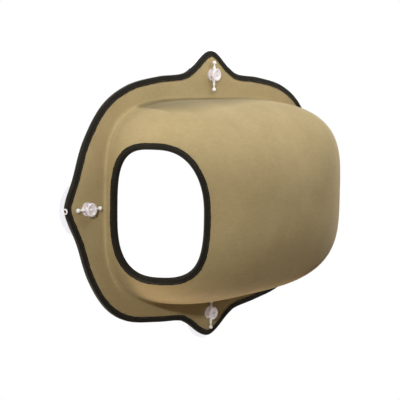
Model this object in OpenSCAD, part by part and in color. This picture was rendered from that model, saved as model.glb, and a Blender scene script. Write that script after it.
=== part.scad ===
// Window mounted pet perch: a moulded foam pod on a lobed flange, which hangs
// on a window pane from four clear suction cups with locking pins.
// The pane is the plane y = 0 and the pod stands out of it along -Y. X runs
// along the pane, Z is up, and the origin lies midway between the four cups.

/* [Flange] */
// Width of the flange, over the binding at its two side tips
flange_w = 680; // [620:1:760]
// Height of the flange, over the binding at its top and bottom tips
flange_h = 511; // [460:1:560]
// Width of the flange beside the pod, at a side tip
rim_side = 81.5; // [81:0.5:100]
// Width of the flange above and below the pod, at the top and bottom tips
rim_top = 81; // [80:0.5:90]
// Thickness of the moulded foam with its fabric, in the flange and in the pod
foam_t = 6; // [4:0.5:7]
// Gap between the pane and the back of the flange
standoff = 6; // [5.5:0.1:8]

/* [Pod] */
// How far the pod stands out of the flange
pod_depth = 193; // [175:1:230]
// How far the middle of the pod lies under the middle of the flange
pod_drop = 4.5; // [0:0.5:5]
// Outer radius of the bend where the pod leaves the flange
crease_r = 7; // [3:0.5:8]
// Fullness of the dome from front to back: 2 is an ellipse, more is boxier
dome_power = 2.47; // [2.3:0.01:2.8]
// Fullness of the pod's upper corners
corner_power_top = 4.2; // [3:0.1:5]
// Fullness of the pod's lower corners
corner_power_low = 3.4; // [3:0.1:5]

/* [Entry] */
// Width of the cut in the foam, from the pane's side to the front
entry_w = 131.5; // [100:0.5:132]
// Height of the cut in the foam
entry_h = 212; // [160:1:218]
// Distance from the front of the flange to the middle of the entry
entry_out = 86.5; // [86:0.5:92]
// How far the middle of the entry lies under the middle of the pod
entry_drop = 3; // [0:0.5:8]
// Fullness of the entry's upper corner at the front of the pod
entry_power_front_top = 2.5; // [2.2:0.1:4]
// Fullness of its upper corner at the pane's side
entry_power_back_top = 3.3; // [2.2:0.1:4]
// Fullness of its lower corner at the pane's side
entry_power_back_low = 2.7; // [2.2:0.1:4]
// Fullness of its lower corner at the front of the pod
entry_power_front_low = 2.9; // [2.2:0.1:4]

/* [Binding tape] */
// Width of each flap of the flange's tape on the faces of the foam
tape_w = 10; // [8:0.5:12]
// Width of each flap of the entry's tape on the faces of the foam
entry_tape_w = 8; // [6:0.5:10]
// Thickness of the tape
tape_t = 1; // [0.6:0.1:1.2]

/* [Floor pad] */
// Length of the pad along the pane
pad_l = 390; // [300:1:410]
// Width of the pad from its back to its front
pad_w = 118; // [90:1:124]
// Thickness of the pad at its crown
pad_t = 30; // [18:1:40]
// Height of the pad's side seam over the floor
pad_seam_h = 9; // [5:0.5:12]
// Distance from the front of the flange to the middle of the pad
pad_out = 70; // [64:0.5:76]

/* [Suction cups] */
// Diameter of a cup's disc
cup_d = 93; // [80:1:100]
// Distance from each tip of the flange to the axis of its cup
cup_inset = 42; // [40:0.5:46]
// Thickness of the disc at its rim
cup_rim_t = 1.2; // [0.8:0.1:1.6]
// Depth of the hollow in the middle of the sealing face
cup_hollow = 1.4; // [0.8:0.1:2]
// Diameter of the neck in the flange's hole
neck_d = 18; // [14:0.5:19]
// Diameter of the two discs of the knob
knob_d = 22; // [20:0.5:25]
// Thickness of the knob's rear disc, which is buttoned over the flange
knob_rear_t = 2.3; // [1.6:0.1:2.6]
// Thickness of the knob's front disc
knob_front_t = 4; // [2.8:0.1:4.5]
// Diameter of the waist between the two discs
waist_d = 13; // [10:0.5:15]
// Length of the waist between the two discs
waist_l = 7.4; // [5.4:0.1:8]
// Outer diameter of the release ring on the rim
ring_d = 9.6; // [8:0.2:12]
// Diameter of the hole in the release ring
ring_hole_d = 6.2; // [4:0.2:7]
// Thickness of the release ring and its strap
ring_t = 1.5; // [1.3:0.1:2]

/* [Locking pins] */
// Diameter of the bar
pin_d = 4.8; // [4:0.1:5]
// Diameter of the ball at each end
ball_d = 7; // [6:0.1:8]
// Distance between the centres of the balls
pin_span = 47; // [44:0.5:50]
// Diameter of the thin neck beside each ball
pin_neck_d = 2.2; // [1.6:0.1:3]
// How far the two upright pins have slid down through their knobs
pin_slip = 2.5; // [0:0.5:4]

/* [Fits] */
// Radial clearance of a cup's neck in the flange
neck_fit = 0.05; // [0.02:0.01:0.1]
// Radial clearance of a pin in its knob
pin_fit = 0.05; // [0.02:0.01:0.1]
// Gap between pieces that rest on each other and move apart
seat_gap = 0.3; // [0.2:0.1:0.5]
// Gap between the floor and the pad
floor_gap = 0.6; // [0.5:0.1:0.9]

/* [Hidden] */

tan_fabric = [0.75, 0.66, 0.48];
black_tape = [0.13, 0.12, 0.10];
pad_fabric = [0.62, 0.55, 0.44];
clear_vinyl = [0.86, 0.84, 0.90, 0.5];
white_plastic = [0.93, 0.93, 0.95, 0.8];

// Steps of each curve
outline_steps = 3;
crease_steps = 3;
dome_steps = 14;
entry_steps = 60;
pad_steps = 56;
round_fn = 96;
small_fn = 48;

// The flange: distances from the pane are called s and run along -Y
flange_back = standoff;
flange_front = standoff + foam_t;

// One quarter of the flange's outline from a side tip to the top tip, as
// shares of half the width and half the height: blunt side tip, hollow flank,
// full shoulder, and a narrower tip above a second hollow. The lower quarters
// are a little slimmer beside the side tips.
upper_knot_shares = [[1, 0], [0.99, 0.07], [0.95, 0.19], [0.885, 0.42], [0.765, 0.64],
    [0.6, 0.765], [0.395, 0.82], [0.22, 0.84], [0.135, 0.89], [0, 1]];
lower_knot_shares = [[1, 0], [0.98, 0.08], [0.925, 0.22], [0.855, 0.455], [0.745, 0.655],
    [0.6, 0.77], [0.395, 0.82], [0.235, 0.845], [0.165, 0.88], [0, 1]];

// The pod's half width and half height where it leaves the flange
pod_a = flange_w / 2 - rim_side;
pod_b = flange_h / 2 - rim_top;
// The dome starts just past the bend and closes just short of its pole
dome_start = asin(pow(crease_r / pod_depth, dome_power / 2));
dome_end = 86;

// The suction cups: angle of each round the flange, and distance to its axis
side_reach = flange_w / 2 - cup_inset;
top_reach = flange_h / 2 - cup_inset;
cup_r = cup_d / 2;
shoulder_s = flange_back - seat_gap;
rear_disc_s = flange_front + seat_gap;
waist_s = rear_disc_s + knob_rear_t;
front_disc_s = waist_s + waist_l;
knob_end_s = front_disc_s + knob_front_t;
pin_s = waist_s + waist_l / 2;
// The disc thins from the neck to the rim: shares of the radius and the height
disc_profile_shares = [[0.34, 0.8], [0.65, 0.42]];
hollow_profile_shares = [[0.3, 0.8], [0.5, 0]];
// Roundings of the knob's discs, and the dimple in its front face
knob_round_share = 0.28;
dimple_profile_shares = [[0.72, 0], [0.6, 0.3], [0.36, 0.42], [0.2, 0.42], [0.12, 0.25]];
// The left cup's release ring stands up beside the edge of the flange
upright_ring_s = flange_front + tape_t;
strap_w_share = 0.5;

// Extra length of a cut past the face that it opens
overrun = 4 * tape_t;

// Small helpers
function unit(v) = v / norm(v);
function signed_power(v, e) = sign(v) * pow(abs(v), e);
function middle(ring) = [for (p = ring) 1] * ring / len(ring);

// Solid through a list of rings with equally many points. It is closed at both
// ends by fans, or joined end to end where closed is true.
module loft(rings, closed = false) {
    n = len(rings[0]);
    m = len(rings);
    spans = closed ? m : m - 1;
    sides = [for (i = [0 : spans - 1]) for (j = [0 : n - 1])
        let (a = i * n + j, b = i * n + (j + 1) % n,
            c = (i + 1) % m * n + (j + 1) % n, d = (i + 1) % m * n + j)
        each [[a, b, c], [a, c, d]]];
    ends = closed ? [] : [middle(rings[0]), middle(rings[m - 1])];
    fans = closed ? [] : [for (j = [0 : n - 1])
        each [[m * n, (j + 1) % n, j], [m * n + 1, (m - 1) * n + j, (m - 1) * n + (j + 1) % n]]];
    polyhedron(points = concat([for (r = rings) each r], ends), faces = concat(sides, fans), convexity = 8);
}

// Flange outline

// The whole outline's knots, anticlockwise from the right tip as seen from the front
last_knot = len(upper_knot_shares) - 1;
flange_knots = [for (k = [
        each [for (i = [0 : last_knot - 1]) upper_knot_shares[i]],
        each [for (i = [last_knot : -1 : 1]) [-upper_knot_shares[i][0], upper_knot_shares[i][1]]],
        each [for (i = [0 : last_knot - 1]) -lower_knot_shares[i]],
        each [for (i = [last_knot : -1 : 1]) [lower_knot_shares[i][0], -lower_knot_shares[i][1]]]])
    [k[0] * flange_w / 2, k[1] * flange_h / 2]];

// Catmull-Rom curve through four knots, between the middle two
function spline_point(a, b, c, d, t) =
    0.5 * (2 * b + (c - a) * t + (2 * a - 5 * b + 4 * c - d) * t * t + (3 * b - a - 3 * c + d) * t * t * t);
knot_count = len(flange_knots);
outline = [for (i = [0 : knot_count - 1]) for (j = [0 : outline_steps - 1])
    spline_point(flange_knots[(i + knot_count - 1) % knot_count], flange_knots[i],
        flange_knots[(i + 1) % knot_count], flange_knots[(i + 2) % knot_count], j / outline_steps)];
station_count = len(outline);

// Inward normal of the outline at station i, and the point u inside it
function inward(i) =
    let (t = outline[(i + 1) % station_count] - outline[(i + station_count - 1) % station_count])
    unit([-t[1], t[0]]);
function inset_point(i, u, s) = let (p = outline[i] + u * inward(i)) [p[0], -s, p[1]];

// Pod surface

// Direction of each outline station as seen from the middle of the pod
directions = [for (p = outline) atan2(p[1] + pod_drop, p[0])];
function corner_power(z) = z >= 0 ? corner_power_top : corner_power_low;
function fullness(x, z) =
    let (n = corner_power(z))
    pow(pow(abs(x) / pod_a, n) + pow(abs(z) / pod_b, n), 1 / n);

// Outward normal of the dome at x, z from the pod's middle and d in front of the flange
function dome_normal(x, z, d) =
    let (n = corner_power(z), g = pow(fullness(x, z), dome_power - n))
    unit([g * signed_power(x / pod_a, n - 1) / pod_a,
        -pow(d / pod_depth, dome_power - 1) / pod_depth,
        g * signed_power(z / pod_b, n - 1) / pod_b]);

// Point on the dome in direction a, q degrees up its curve, moved h along the normal
function dome_point(a, q, h) =
    let (r = pow(cos(q), 2 / dome_power) / fullness(cos(a), sin(a)),
        d = pod_depth * pow(sin(q), 2 / dome_power), x = r * cos(a), z = r * sin(a))
    [x, -flange_front - d, z - pod_drop] + h * dome_normal(x, z, d);

// Point e outside the dome's foot in direction a, at distance s from the pane
function foot_point(a, e, s) =
    let (r = 1 / fullness(cos(a), sin(a)), n = dome_normal(r * cos(a), r * sin(a), 0))
    [r * cos(a), -s, r * sin(a) - pod_drop] + e * n;

// Ring of the bend between flange and pod: t runs from 0 at the flange to 90
// at the pod, and r is the radius of this face of the foam
function crease_ring(t, r) =
    [for (a = directions) foot_point(a, crease_r - r * sin(t), flange_front + crease_r - r * cos(t))];
function dome_ring(q, h) = [for (a = directions) dome_point(a, q, h)];
function flange_ring(s) = [for (i = [0 : station_count - 1]) inset_point(i, tape_t, s)];

// Left end of the dome seen from the side: d in front of the flange, z from
// the pod's middle, moved h along the normal
function end_point(d, z, h) =
    let (n = corner_power(z),
        room = pow(1 - pow(d / pod_depth, dome_power), n / dome_power) - pow(abs(z) / pod_b, n),
        x = -pod_a * pow(room, 1 / n))
    [x, -flange_front - d, z - pod_drop] + h * dome_normal(x, z, d);

// Cut for the entry in the foam, as d and z: f runs round it from its front edge upwards
function entry_power(f) =
    cos(f) >= 0 ? (sin(f) >= 0 ? entry_power_front_top : entry_power_front_low)
        : (sin(f) >= 0 ? entry_power_back_top : entry_power_back_low);
function entry_cut(f) =
    let (n = entry_power(f))
    [entry_out + entry_w / 2 * signed_power(cos(f), 2 / n),
        entry_h / 2 * signed_power(sin(f), 2 / n) - entry_drop];

// Direction square to the cut along the face of the dome, away from the entry
function entry_outward(f) =
    let (a = entry_cut(f - 180 / entry_steps), b = entry_cut(f + 180 / entry_steps), c = entry_cut(f),
        along = end_point(b[0], b[1], 0) - end_point(a[0], a[1], 0),
        face = end_point(c[0], c[1], 1) - end_point(c[0], c[1], 0))
    unit(cross(along, face));

// Entry outline, e outside the cut along the face of the dome and h over it
function entry_point(f, e, h) =
    let (c = entry_cut(f), o = entry_outward(f))
    end_point(c[0] - e * o[1], c[1] + e * o[2], h);
entry_angles = [for (i = [0 : entry_steps - 1]) 360 * i / entry_steps];

// Cutter for the entry, square to the foam, with flat ends outside and inside the pod
module entry_cutter() {
    outside = [for (f = entry_angles) entry_point(f, 0, overrun)];
    inside = [for (f = entry_angles) entry_point(f, 0, -foam_t - overrun)];
    loft([[for (p = outside) [-flange_w / 2, p[1], p[2]]], outside, inside,
        [for (p = inside) [-pod_a / 3, p[1], p[2]]]]);
}

// Place a suction cup or pin: a is its angle round the flange, local X points
// outwards along the flange and local Z away from the pane
module at_tip(a) {
    reach = abs(cos(a)) > abs(sin(a)) ? side_reach : top_reach;
    translate([reach * cos(a), 0, reach * sin(a)]) rotate([90, 0, 0]) rotate([0, 0, a]) children();
}

// Moulded foam: the flange and the pod are one sheet of even thickness
module pod_shell() {
    crease_angles = [for (i = [0 : crease_steps]) 90 * i / crease_steps];
    dome_angles = [for (i = [1 : dome_steps]) dome_start + (dome_end - dome_start) * i / dome_steps];
    color(tan_fabric) difference() {
        loft(concat(
            [for (i = [dome_steps - 1 : -1 : 0]) dome_ring(dome_angles[i], 0)],
            [for (i = [crease_steps : -1 : 0]) crease_ring(crease_angles[i], crease_r)],
            [flange_ring(flange_front), flange_ring(flange_back)],
            [for (t = crease_angles) crease_ring(t, crease_r + foam_t)],
            [for (q = dome_angles) dome_ring(q, -foam_t)]));
        entry_cutter();
        for (a = [0 : 90 : 270])
            at_tip(a) cylinder(h = 2 * flange_front, r = neck_d / 2 + neck_fit, $fn = round_fn);
    }
}

// Tape round the edge of the flange: u is measured inwards from the outline
module flange_binding() {
    section = [[tape_w, flange_front], [tape_t, flange_front], [tape_t, flange_back], [tape_w, flange_back],
        [tape_w, flange_back - tape_t], [2.4 * tape_t, flange_back - tape_t],
        [0.9 * tape_t, flange_back - 0.45 * tape_t], [0, flange_back + 1.2 * tape_t],
        [0, flange_front - 1.2 * tape_t], [0.9 * tape_t, flange_front + 0.45 * tape_t],
        [2.4 * tape_t, flange_front + tape_t], [tape_w, flange_front + tape_t]];
    color(black_tape)
        loft([for (i = [0 : station_count - 1]) [for (p = section) inset_point(i, p[0], p[1])]],
            closed = true);
}

// Tape round the entry: e is measured outwards from the cut and h from the dome
module entry_binding() {
    over = seat_gap;
    under = -foam_t - 3 * seat_gap;
    lip = -seat_gap;
    half = entry_tape_w / 2;
    section = [[entry_tape_w, over], [half, over], [lip, over],
        [lip, under], [half, under], [entry_tape_w, under],
        [entry_tape_w, under - tape_t], [half, under - tape_t], [1.4 * tape_t + lip, under - tape_t],
        [lip - 0.1 * tape_t, under - 0.45 * tape_t], [lip - tape_t, under + 1.2 * tape_t],
        [lip - tape_t, over - 1.2 * tape_t], [lip - 0.1 * tape_t, over + 0.45 * tape_t],
        [1.4 * tape_t + lip, over + tape_t], [half, over + tape_t], [entry_tape_w, over + tape_t]];
    color(black_tape)
        loft([for (f = entry_angles) [for (p = section) entry_point(-f, p[0], p[1])]], closed = true);
}

// Height of the pod's floor at x, d in front of the flange
function floor_z(x, d) =
    let (n = corner_power_low,
        room = pow(1 - pow(d / (pod_depth - foam_t), dome_power), n / dome_power)
            - pow(abs(x) / (pod_a - foam_t), n))
    -pod_drop - (pod_b - foam_t) * pow(room, 1 / n);

// Point of the pad at share w of its plan, in direction f, at height t over the floor
function pad_point(w, f, t) =
    let (x = w * pad_l / 2 * signed_power(cos(f), 1 / 2),
        d = pad_out + w * pad_w / 2 * signed_power(sin(f), 1 / 2))
    [x, -flange_front - d, floor_z(x, d) + floor_gap + t];

// Loose pad on the floor: crowned on top, with its sides drawn in to a seam
module floor_pad() {
    plan_shares = [0.15, 0.4, 0.6, 0.75, 0.86, 0.93, 0.975, 1];
    under = [for (w = plan_shares) pad_seam_h * (1 - sqrt(1 - pow(w, 8)))];
    crown = [for (w = plan_shares) pad_seam_h + (pad_t - pad_seam_h) * sqrt(1 - pow(w, 4))];
    angles = [for (i = [0 : pad_steps - 1]) 360 * i / pad_steps];
    last = len(plan_shares) - 1;
    color(pad_fabric) loft(concat(
        [for (i = [0 : last]) [for (f = angles) pad_point(plan_shares[i], f, under[i])]],
        [for (i = [last - 1 : -1 : 0]) [for (f = angles) pad_point(plan_shares[i], f, crown[i])]]));
}

// Suction cup: disc with a hollow sealing face, neck, double knob with a cross
// hole for the pin, and a release ring on the rim
module suction_cup(ring_upright = false) {
    neck_r = neck_d / 2;
    knob_r = knob_d / 2;
    waist_r = waist_d / 2;
    rear_round = knob_round_share * knob_rear_t;
    front_round = knob_round_share * knob_front_t;
    color(clear_vinyl) difference() {
        union() {
            rotate_extrude($fn = round_fn) polygon([
                [0, cup_hollow],
                each [for (p = hollow_profile_shares) [p[0] * cup_r, p[1] * cup_hollow]],
                [cup_r - cup_rim_t / 4, 0],
                [cup_r, cup_rim_t / 3],
                [cup_r, 2 * cup_rim_t / 3],
                [cup_r - cup_rim_t / 4, cup_rim_t],
                each [for (i = [1 : -1 : 0])
                    [disc_profile_shares[i][0] * cup_r, disc_profile_shares[i][1] * shoulder_s]],
                [neck_r, shoulder_s],
                [neck_r, rear_disc_s],
                [knob_r - rear_round, rear_disc_s],
                [knob_r, rear_disc_s + rear_round],
                [knob_r, waist_s - rear_round],
                [knob_r - rear_round, waist_s],
                [waist_r, waist_s],
                [waist_r, front_disc_s],
                [knob_r - front_round, front_disc_s],
                [knob_r, front_disc_s + front_round],
                [knob_r, knob_end_s - front_round],
                [knob_r - front_round, knob_end_s],
                each [for (p = dimple_profile_shares) [p[0] * knob_r, knob_end_s - p[1] * knob_front_t]],
                [0, knob_end_s - dimple_profile_shares[4][1] * knob_front_t]]);
            if (ring_upright) upright_release_ring();
            else release_ring();
        }
        translate([0, 0, pin_s]) rotate([0, 90, 0])
            cylinder(h = 2 * knob_d, r = pin_d / 2 + pin_fit, center = true, $fn = small_fn);
    }
}

// Flat ring, half over the rim of the disc
module release_ring() {
    translate([cup_r, 0, cup_rim_t / 6]) linear_extrude(ring_t) difference() {
        circle(d = ring_d, $fn = small_fn);
        circle(d = ring_hole_d, $fn = small_fn);
        translate([-ring_d, 0]) square([ring_d * 0.75 * 2, 2 * ring_d], center = true);
    }
}

// Ring standing on the rim of the disc, on a strap that rises past the edge of the flange
module upright_release_ring() {
    strap_w = strap_w_share * ring_d;
    translate([cup_r - ring_t, 0, 0]) rotate([90, 0, 90]) linear_extrude(ring_t) difference() {
        union() {
            translate([-strap_w / 2, cup_rim_t / 6]) square([strap_w, upright_ring_s - ring_d / 2]);
            translate([0, upright_ring_s]) circle(d = ring_d, $fn = small_fn);
        }
        translate([0, upright_ring_s]) circle(d = ring_hole_d, $fn = small_fn);
    }
}

// Locking pin along local X, slid by slip from the middle of its knob
module locking_pin(slip = 0) {
    bar_l = pin_span * 0.62;
    taper_l = pin_d;
    color(white_plastic) translate([slip, 0, pin_s]) rotate([0, 90, 0]) {
        cylinder(h = bar_l, d = pin_d, center = true, $fn = small_fn);
        cylinder(h = pin_span, d = pin_neck_d, center = true, $fn = small_fn);
        for (side = [0, 180]) rotate([side, 0, 0]) {
            translate([0, 0, bar_l / 2]) cylinder(h = taper_l, d1 = pin_d, d2 = pin_neck_d, $fn = small_fn);
            translate([0, 0, pin_span / 2]) sphere(d = ball_d, $fn = small_fn);
        }
    }
}

module suction_cup_right() { at_tip(0) suction_cup(); }
module suction_cup_top() { at_tip(90) suction_cup(); }
module suction_cup_left() { at_tip(180) suction_cup(ring_upright = true); }
module suction_cup_bottom() { at_tip(270) suction_cup(); }
module locking_pin_right() { at_tip(0) locking_pin(); }
module locking_pin_top() { at_tip(90) locking_pin(-pin_slip); }
module locking_pin_left() { at_tip(180) locking_pin(); }
module locking_pin_bottom() { at_tip(270) locking_pin(pin_slip); }

pod_shell();
flange_binding();
entry_binding();
floor_pad();
suction_cup_top();
suction_cup_bottom();
suction_cup_left();
suction_cup_right();
locking_pin_top();
locking_pin_bottom();
locking_pin_left();
locking_pin_right();
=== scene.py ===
# %% [markdown]
# # A moulded perch on suction cups
#
# The perch is one sheet of foam with cloth on both faces, pressed hot into a flat
# flange with a deep pod in its middle. Black tape binds the flange's edge and the edge
# of the entry in the pod's left end. Four clear suction cups carry it on a pane, each
# locked by a pin with a ball at both ends, and a loose pad lies on the pod's floor.
#
# The solid parts come first, as a frame that never changes. The cups and the pins keep
# their own solids and only get a finish. Foam, tape and pad are soft, so each of them
# is made again here with the detail that cloth has.

# %% Load the solid parts
import math

import bmesh
import bpy
import numpy as np
from mathutils import Matrix, Vector


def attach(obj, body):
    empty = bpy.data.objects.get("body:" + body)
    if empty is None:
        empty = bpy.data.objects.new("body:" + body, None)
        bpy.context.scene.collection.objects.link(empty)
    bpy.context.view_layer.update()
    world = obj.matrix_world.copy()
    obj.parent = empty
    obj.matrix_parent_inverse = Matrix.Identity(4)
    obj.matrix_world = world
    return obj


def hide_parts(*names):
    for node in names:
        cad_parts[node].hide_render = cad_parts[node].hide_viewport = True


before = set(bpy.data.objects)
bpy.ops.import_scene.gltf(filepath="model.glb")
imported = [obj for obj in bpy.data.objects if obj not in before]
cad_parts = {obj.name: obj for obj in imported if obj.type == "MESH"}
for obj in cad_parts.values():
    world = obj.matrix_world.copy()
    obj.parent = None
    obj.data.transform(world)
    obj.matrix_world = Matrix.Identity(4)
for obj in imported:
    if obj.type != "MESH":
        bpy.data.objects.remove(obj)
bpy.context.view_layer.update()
print("solid parts:", ", ".join(sorted(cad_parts)))

# %% [markdown]
# ## Where the camera stands
#
# The pane is the plane y = 0, x runs along it to the right and z is up. The camera
# stands to the left of the perch and a little above it. It is set by two angles, a
# small roll and a distance from the point that it looks at, because these are the
# numbers that one reads off a picture with a ruler. A long lens keeps the two ends of
# the perch at nearly the same scale.

# %% Camera
AZIMUTH, ELEVATION, ROLL = (math.radians(a) for a in (-48.7, 6.65, 0.71))
DISTANCE, TARGET = 1.922, Vector((-0.013, 0.0, -0.009))
SENSOR_MM, FOCAL_LENGTH_MM = 36.0, 96.84


def toward(azimuth, elevation):
    """Unit vector at two angles in radians; 0, 0 points straight out from the pane."""
    run = math.cos(elevation)
    return Vector((math.sin(azimuth) * run, -math.cos(azimuth) * run, math.sin(elevation)))


back = toward(AZIMUTH, ELEVATION)
level = Vector((math.cos(AZIMUTH), math.sin(AZIMUTH), 0.0))
upright = back.cross(level)
right = math.cos(ROLL) * level + math.sin(ROLL) * upright
up = math.cos(ROLL) * upright - math.sin(ROLL) * level

lens = bpy.data.cameras.new("perch_camera")
lens.sensor_width, lens.lens = SENSOR_MM, FOCAL_LENGTH_MM
lens.clip_start, lens.clip_end = 0.05, 50.0
camera = bpy.data.objects.new("perch_camera", lens)
turned = Matrix((right, up, back)).transposed().to_4x4()
camera.matrix_world = Matrix.Translation(TARGET + DISTANCE * back) @ turned
bpy.context.collection.objects.link(camera)
bpy.context.scene.camera = camera
print("camera at", [round(c, 3) for c in camera.matrix_world.translation])

# %% [markdown]
# ## A mesh from a grid of points
#
# Every soft piece here is a surface with two directions: round the perch and across
# it. Its points fill a table with one row for each ring. Four neighbours in the table
# make one face, so one small function turns any such table into a mesh. The cloth's
# own map, in metres of cloth, is stored with each corner of each face.

# %% Surface helper
MM = 0.001


def add_mesh(name, points, faces):
    """Object with a new mesh, in the scene."""
    mesh = bpy.data.meshes.new(name)
    mesh.from_pydata(points, [], faces)
    made = bpy.data.objects.new(name, mesh)
    bpy.context.collection.objects.link(made)
    return made


def surface(name, points, cloth, closed_rows=False, caps=False):
    """Mesh object through a table of points, points[ring, station], joined station to station.

    Rows join to the next row, and the last to the first if closed_rows is set. With
    caps, a fan from the middle of the first and of the last ring closes the ends.
    cloth[ring, station, corner] is the map of each face's four corners.
    """
    rings, stations = points.shape[:2]
    row = np.arange(rings + closed_rows) % rings
    column = np.arange(stations + 1) % stations
    ids = row[:, None] * stations + column[None]
    quads = np.stack([ids[:-1, :-1], ids[:-1, 1:], ids[1:, 1:], ids[1:, :-1]], -1).reshape(-1, 4)
    corners = cloth.reshape(-1, 2)
    places, faces = points.reshape(-1, 3), quads.tolist()
    if caps:
        ends = points[[0, -1]].mean(axis=1)
        places = np.vstack([places, ends])
        first = [[len(places) - 2, b, a] for a, b in zip(ids[0, :-1], ids[0, 1:])]
        last = [[len(places) - 1, a, b] for a, b in zip(ids[-1, :-1], ids[-1, 1:])]
        faces += first + last
        corners = np.vstack([corners, np.repeat(cloth[[0, -1], :, 0], 3, axis=1).reshape(-1, 2)])
    made = add_mesh(name, places.tolist(), faces)
    made.data.uv_layers.new(name="cloth").data.foreach_set("uv", corners.ravel())
    made.data.shade_smooth()
    print(name, len(places), "points,", len(faces), "faces")
    return made


def face_corners(table):
    """Map of each face's corners from a table of map points.

    The table has one extra column, and one extra row if the rows close.
    """
    return np.stack([table[:-1, :-1], table[:-1, 1:], table[1:, 1:], table[1:, :-1]], axis=2)


def baked(piece):
    """The piece's mesh with its modifiers applied."""
    evaluated = piece.evaluated_get(bpy.context.evaluated_depsgraph_get())
    return bpy.data.meshes.new_from_object(evaluated)


def run_length(line):
    """Length along a line of points from its start to each of them."""
    return np.concatenate([[0], np.cumsum(np.linalg.norm(np.diff(line, axis=0), axis=1))])


# %% [markdown]
# ## The flange's outline
#
# The outline has a blunt tip at each side, where a cup sits, a hollow flank, a full
# shoulder and a narrower tip at the top and the bottom. Ten knots describe an upper
# quarter and ten a lower one, which is slimmer beside the side tip, and both mirror from
# left to right. A Catmull-Rom curve is used because it passes through its knots, so that
# each knot is a place that one can measure.

# %% Outline
HALF_WIDTH, HALF_HEIGHT = 340 * MM, 255.5 * MM
KNOT_STEPS = 40
# Knots of a quarter, from the side tip on, as shares of the half width and half height
UPPER = [
    (1, 0), (0.99, 0.07), (0.95, 0.19), (0.885, 0.42), (0.765, 0.64),
    (0.6, 0.765), (0.395, 0.82), (0.22, 0.84), (0.135, 0.89), (0, 1),
]
LOWER = [
    (1, 0), (0.98, 0.08), (0.925, 0.22), (0.855, 0.455), (0.745, 0.655),
    (0.6, 0.77), (0.395, 0.82), (0.235, 0.845), (0.165, 0.88), (0, 1),
]


def closed_curve(knots, steps):
    """Catmull-Rom curve: from knot b to knot c, with a before and d after them, the
    point at t is half of 2b + (c-a)t + (2a-5b+4c-d)t^2 + (3b-a-3c+d)t^3."""
    a, b, c, d = (np.roll(knots, shift, axis=0)[:, None] for shift in (1, 0, -1, -2))
    t = (np.arange(steps) / steps)[None, :, None]
    bends = 2 * b + (c - a) * t
    bends = bends + (2 * a - 5 * b + 4 * c - d) * t**2 + (3 * b - a - 3 * c + d) * t**3
    return 0.5 * bends.reshape(-1, knots.shape[1])


def even_ring(curve, count):
    """The same closed curve with count points at equal steps along its length, and that length."""
    loop = np.vstack([curve, curve[:1]])
    length = run_length(loop)
    steps = np.arange(count) * length[-1] / count
    columns = [np.interp(steps, length, loop[:, k]) for k in range(loop.shape[1])]
    return np.stack(columns, -1), length[-1]


def inward_of(loop):
    """Unit directions to the inside of a closed plan, square to its run at each point."""
    run = np.roll(loop, -1, axis=0) - np.roll(loop, 1, axis=0)
    return np.stack([-run[:, 1], run[:, 0]], -1) / np.linalg.norm(run, axis=1, keepdims=True)


upper, lower = (np.array(quarter) * (HALF_WIDTH, HALF_HEIGHT) for quarter in (UPPER, LOWER))
knots = np.vstack([upper[:-1], upper[:0:-1] * (-1, 1), -lower[:-1], lower[:0:-1] * (1, -1)])
edge_curve = closed_curve(knots, KNOT_STEPS)
print("edge length in mm:", round(1000 * even_ring(edge_curve, 8)[1]))

# %% [markdown]
# ## The pod's surface
#
# Hot foam pulled over a mould keeps one thickness and has no sharp corner. A
# superellipse gives that shape with one number for its fullness: power 2 is an
# ellipse, and higher powers come closer to a box. The pod's front outline is one, a
# little rounder in its lower corners, and its run from the flange to the front is
# another. A formula also gives the surface's normal, which places the inner face one
# foam thickness behind the outer one.

# %% Pod formulas
FLANGE_BACK, FOAM, BEND = 6 * MM, 6 * MM, 7 * MM
FLANGE_FRONT = FLANGE_BACK + FOAM
POD_A, POD_B, POD_DEPTH, POD_DROP = 258.5 * MM, 174.5 * MM, 193 * MM, 4.5 * MM
DOME_POWER, UPPER_POWER, LOWER_POWER = 2.47, 4.2, 3.4


def fullness(x, z):
    """Share of the front outline's size at x, z: the n-th root of (x/a)^n + (z/b)^n."""
    n = np.where(z >= 0, UPPER_POWER, LOWER_POWER)
    return ((np.abs(x) / POD_A) ** n + (np.abs(z) / POD_B) ** n) ** (1 / n)


def dome_normal(x, z, depth):
    """Outward normal, the gradient of fullness^p + (depth/D)^p."""
    n = np.where(z >= 0, UPPER_POWER, LOWER_POWER)
    pull = np.maximum(fullness(x, z), 1e-6) ** (DOME_POWER - n)
    gradient = np.stack(
        [
            pull * np.sign(x) * (np.abs(x) / POD_A) ** (n - 1) / POD_A,
            -((depth / POD_DEPTH) ** (DOME_POWER - 1)) / POD_DEPTH + 0 * x,
            pull * np.sign(z) * (np.abs(z) / POD_B) ** (n - 1) / POD_B,
        ],
        -1,
    )
    return gradient / np.linalg.norm(gradient, axis=-1, keepdims=True)


def dome_point(direction, climb, height=0.0):
    """Point of the pod in a direction of its front view, climb radians up its run.

    With the dome's power p, its distance from the middle is cos(climb)^(2/p) / fullness
    and its depth D sin(climb)^(2/p). The point lies height off the face.
    """
    radius = np.cos(climb) ** (2 / DOME_POWER) / fullness(np.cos(direction), np.sin(direction))
    depth = POD_DEPTH * np.sin(climb) ** (2 / DOME_POWER) + 0 * radius
    x, z = radius * np.cos(direction), radius * np.sin(direction)
    place = np.stack([x, -FLANGE_FRONT - depth, z - POD_DROP], -1)
    return place + np.asarray(height)[..., None] * dome_normal(x, z, depth)


def bend_point(direction, turn, radius):
    """Point of the bend between flange and pod, an arc of a radius about its middle.

    turn goes from 0 at the flange to a quarter turn at the pod.
    """
    foot = 1 / fullness(np.cos(direction), np.sin(direction))
    x, z = foot * np.cos(direction), foot * np.sin(direction)
    out = BEND - radius * np.sin(turn)
    place = np.stack([x, 0 * x - FLANGE_FRONT - BEND + radius * np.cos(turn), z - POD_DROP], -1)
    return place + out * dome_normal(x, z, 0 * x)


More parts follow.
